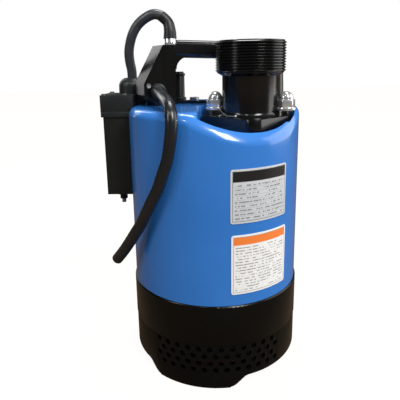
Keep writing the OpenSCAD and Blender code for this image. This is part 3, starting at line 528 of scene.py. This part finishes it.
def shell_mesh():
    around, wall_rows, corner_rows, top_rows = 320, 24, 18, 72
    rings = []
    for row in range(wall_rows + corner_rows + top_rows):
        ring = []
        for k in range(around):
            phi = 2 * math.pi * k / around
            if row < wall_rows + corner_rows:
                turn = max(0.0, (row - wall_rows + 1) / corner_rows) * math.pi / 2
                radius = SHELL_RADIUS - SHOULDER + SHOULDER * math.cos(turn)
            else:
                turn = math.pi / 2
                radius = (SHELL_RADIUS - SHOULDER) * (1 - (row - wall_rows - corner_rows + 1) / top_rows)
                radius = max(radius, 0.4)
            x, y = radius * math.sin(phi), -radius * math.cos(phi)
            crest = shell_height(x, y)
            z = crest - SHOULDER + SHOULDER * math.sin(turn)
            if row < wall_rows:
                z = SHELL_BASE + (z - SHELL_BASE) * row / (wall_rows - 1)
            ring.append((x * MM, y * MM, z * MM))
        rings.append(ring)
    vertices = [vertex for ring in rings for vertex in ring]
    faces = []
    for row in range(len(rings) - 1):
        for k in range(around):
            following = (k + 1) % around
            face = (row * around + k, row * around + following, (row + 1) * around + following,
                    (row + 1) * around + k)
            middle = [sum(vertices[i][axis] for i in face) / 4 / MM for axis in (0, 1)]
            in_bore = math.hypot(middle[0] - OUTLET[0], middle[1] - OUTLET[1]) < BORE_OPENING
            if not (in_bore and row > wall_rows + corner_rows):
                faces.append(face)
    last = (len(rings) - 1) * around
    faces.append(tuple(last + k for k in range(around)))
    mesh = bpy.data.meshes.new("shell_sheet")
    mesh.from_pydata(vertices, [], faces)
    work = bmesh.new()
    work.from_mesh(mesh)
    bmesh.ops.recalc_face_normals(work, faces=work.faces)
    top_faces = [face for face in work.faces if face.calc_center_median().z > HIGH_TOP * MM]
    if sum(face.normal.z * face.calc_area() for face in top_faces) < 0:
        bmesh.ops.reverse_faces(work, faces=work.faces)
    loose = [vertex for vertex in work.verts if not vertex.link_faces]
    bmesh.ops.delete(work, geom=loose, context="VERTS")
    work.to_mesh(mesh)
    work.free()
    return mesh


def add_shell():
    piece = new_piece("shell_pressing", shell_mesh(), "blue_shell")
    thick = piece.modifiers.new("sheet", "SOLIDIFY")
    thick.thickness = SHEET * MM
    thick.offset = -1
    bake(piece, "blue_shell", 50)
    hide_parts("outer_shell")


def add_plates():
    """The two plates as curved sheets with round corners."""
    columns, rows = 48, 60
    for node, (slot, start, end, low, high) in PLATES.items():
        vertices = []
        for row in range(rows + 1):
            share = row / rows
            z = low + (high - low) * (share * share * (3 - 2 * share))
            edge = max(0.0, PLATE_CORNER - min(z - low, high - z))
            inset = math.degrees((PLATE_CORNER - math.sqrt(PLATE_CORNER ** 2 - edge ** 2)) / PLATE_RADIUS)
            for column in range(columns + 1):
                turn = math.radians(start + inset + (end - start - 2 * inset) * column / columns)
                vertices.append((PLATE_RADIUS * math.sin(turn) * MM, -PLATE_RADIUS * math.cos(turn) * MM,
                                 z * MM))
        step = columns + 1
        faces = [(row * step + k, row * step + k + 1, (row + 1) * step + k + 1, (row + 1) * step + k)
                 for row in range(rows) for k in range(columns)]
        mesh = bpy.data.meshes.new(node + "_sheet")
        mesh.from_pydata(vertices, [], faces)
        piece = new_piece(node + "_print", mesh, slot)
        sheet = piece.modifiers.new("sheet", "SOLIDIFY")
        sheet.thickness = PLATE_SHEET * MM
        sheet.offset = 1
        bake(piece, slot, 50)
        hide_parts(node)


SOFTENED = [("strainer", 0.6), ("base_ring", 0.7), ("discharge_pipe", 0.35), ("handle", 1.6),
            ("relay_case", 1.4), ("relay_lid", 2.2), ("discharge_cap_nuts", 0.5), ("discharge_washers", 0.5),
            ("vent_body", 0.5), ("vent_cap", 0.6), ("signal_gland", 0.6),
            ("handle_bolts", 0.5), ("supply_gland", 0.8)]


def add_cad_looks():
    for node, piece in frame["nodes"].items():
        dress(piece, SLOT_OF[node])
    for node, width in SOFTENED:
        softened(node, width * MM)


# ---- stage
FLOOR_GLOW = 0.94                  # what the camera sees of the floor, before the lamps
GLOSS_SHARE = 0.86                 # share of the room that reflections leave out


def add_stage():
    floor_mesh = bpy.data.meshes.new("floor")
    half = 6.0
    corners = [(-half, -half, 0), (half, -half, 0), (half, half, 0), (-half, half, 0)]
    floor_mesh.from_pydata(corners, [], [(0, 1, 2, 3)])
    floor = bpy.data.objects.new("floor", floor_mesh)
    bpy.context.scene.collection.objects.link(floor)
    nodes = Nodes("pale_floor")
    tree = nodes.tree
    path = nodes.add("ShaderNodeLightPath")
    seen = path.outputs["Is Camera Ray"]
    nodes.set(Base_Color=(0.085, 0.060, 0.038, 1), Roughness=0.9, Specular_IOR_Level=0.0)
    glow = nodes.add("ShaderNodeEmission")
    glow.inputs["Color"].default_value = (1, 1, 1, 1)
    nodes.link(nodes.math("MULTIPLY", seen, FLOOR_GLOW), glow.inputs["Strength"])
    both = nodes.add("ShaderNodeAddShader")
    nodes.link(nodes.shader.outputs[0], both.inputs[0])
    nodes.link(glow.outputs[0], both.inputs[1])
    nodes.link(both.outputs[0], tree.nodes["Material Output"].inputs["Surface"])
    floor_mesh.materials.append(nodes.material)


def add_world():
    """White to the camera. To everything else a dim room, brighter above and to the right."""
    world = bpy.data.worlds.new("white_room")
    bpy.context.scene.world = world
    world.use_nodes = True
    tree = world.node_tree
    background = tree.nodes["Background"]
    place = tree.nodes.new("ShaderNodeTexCoord")
    split = tree.nodes.new("ShaderNodeSeparateXYZ")
    tree.links.new(place.outputs["Generated"], split.inputs[0])

    def level(socket, low, high, start, end):
        node = tree.nodes.new("ShaderNodeMapRange")
        node.interpolation_type = "SMOOTHSTEP"
        tree.links.new(socket, node.inputs["Value"])
        for name, value in (("From Min", low), ("From Max", high), ("To Min", start), ("To Max", end)):
            node.inputs[name].default_value = value
        return node.outputs[0]

    def math_node(operation, a, b):
        node = tree.nodes.new("ShaderNodeMath")
        node.operation = operation
        for socket, value in zip(node.inputs, (a, b)):
            if isinstance(value, float):
                socket.default_value = value
            else:
                tree.links.new(value, socket)
        return node.outputs[0]

    side = level(split.outputs["X"], -0.6, 1.0, 0.10, 0.75)
    sky = level(split.outputs["Z"], 0.15, 0.9, 0.0, 0.65)
    room = math_node("ADD", side, sky)
    path = tree.nodes.new("ShaderNodeLightPath")
    seen = path.outputs["Is Camera Ray"]
    mirrored = math_node("SUBTRACT", 1.0, math_node("MULTIPLY", path.outputs["Is Glossy Ray"], GLOSS_SHARE))
    unseen = math_node("MULTIPLY", math_node("SUBTRACT", 1.0, seen), mirrored)
    tree.links.new(math_node("ADD", math_node("MULTIPLY", room, unseen), seen), background.inputs["Strength"])
    background.inputs["Color"].default_value = (1, 1, 1, 1)


def add_lamp(name, place, target, size, power):
    data = bpy.data.lights.new(name, "AREA")
    data.shape = "RECTANGLE"
    data.size, data.size_y = size
    data.energy = power
    lamp = bpy.data.objects.new(name, data)
    bpy.context.scene.collection.objects.link(lamp)
    lamp.location = place
    lamp.rotation_euler = (Vector(target) - Vector(place)).to_track_quat("-Z", "Y").to_euler()


# name, place, target, size and power
LAMPS = [("key", (0.9, -1.3, 1.5), (0, 0, 0.18), (0.5, 0.9), 29),
         ("left", (-1.5, -1.0, 1.2), (0, 0, 0.15), (0.35, 1.2), 11),
         ("top", (0.0, 0.3, 1.7), (0, 0, 0.2), (0.7, 0.5), 12),
         ("glint_left", (-0.55, -1.5, 1.9), (0, 0, 0.25), (0.06, 0.25), 3.5),
         ("glint_right", (0.75, -1.2, 2.0), (0, 0, 0.25), (0.06, 0.25), 3.5),
         ("rear", (-0.9, 1.3, 0.9), (0, 0, 0.2), (0.3, 1.0), 2),
         ("facet", (-0.82, 0.95, 0.58), (-0.05, 0, 0.34), (0.7, 0.6), 1.6),
         ("right", (1.7, 0.2, 0.6), (0, 0, 0.2), (1.4, 1.6), 16)]


def add_lamps():
    for lamp in LAMPS:
        add_lamp(*lamp)


add_camera()
add_cords()
add_cad_looks()
add_boot()
add_lock_wire()
add_shell()
add_plates()
add_stage()
add_world()
add_lamps()
bpy.context.scene.view_settings.view_transform = "Standard"
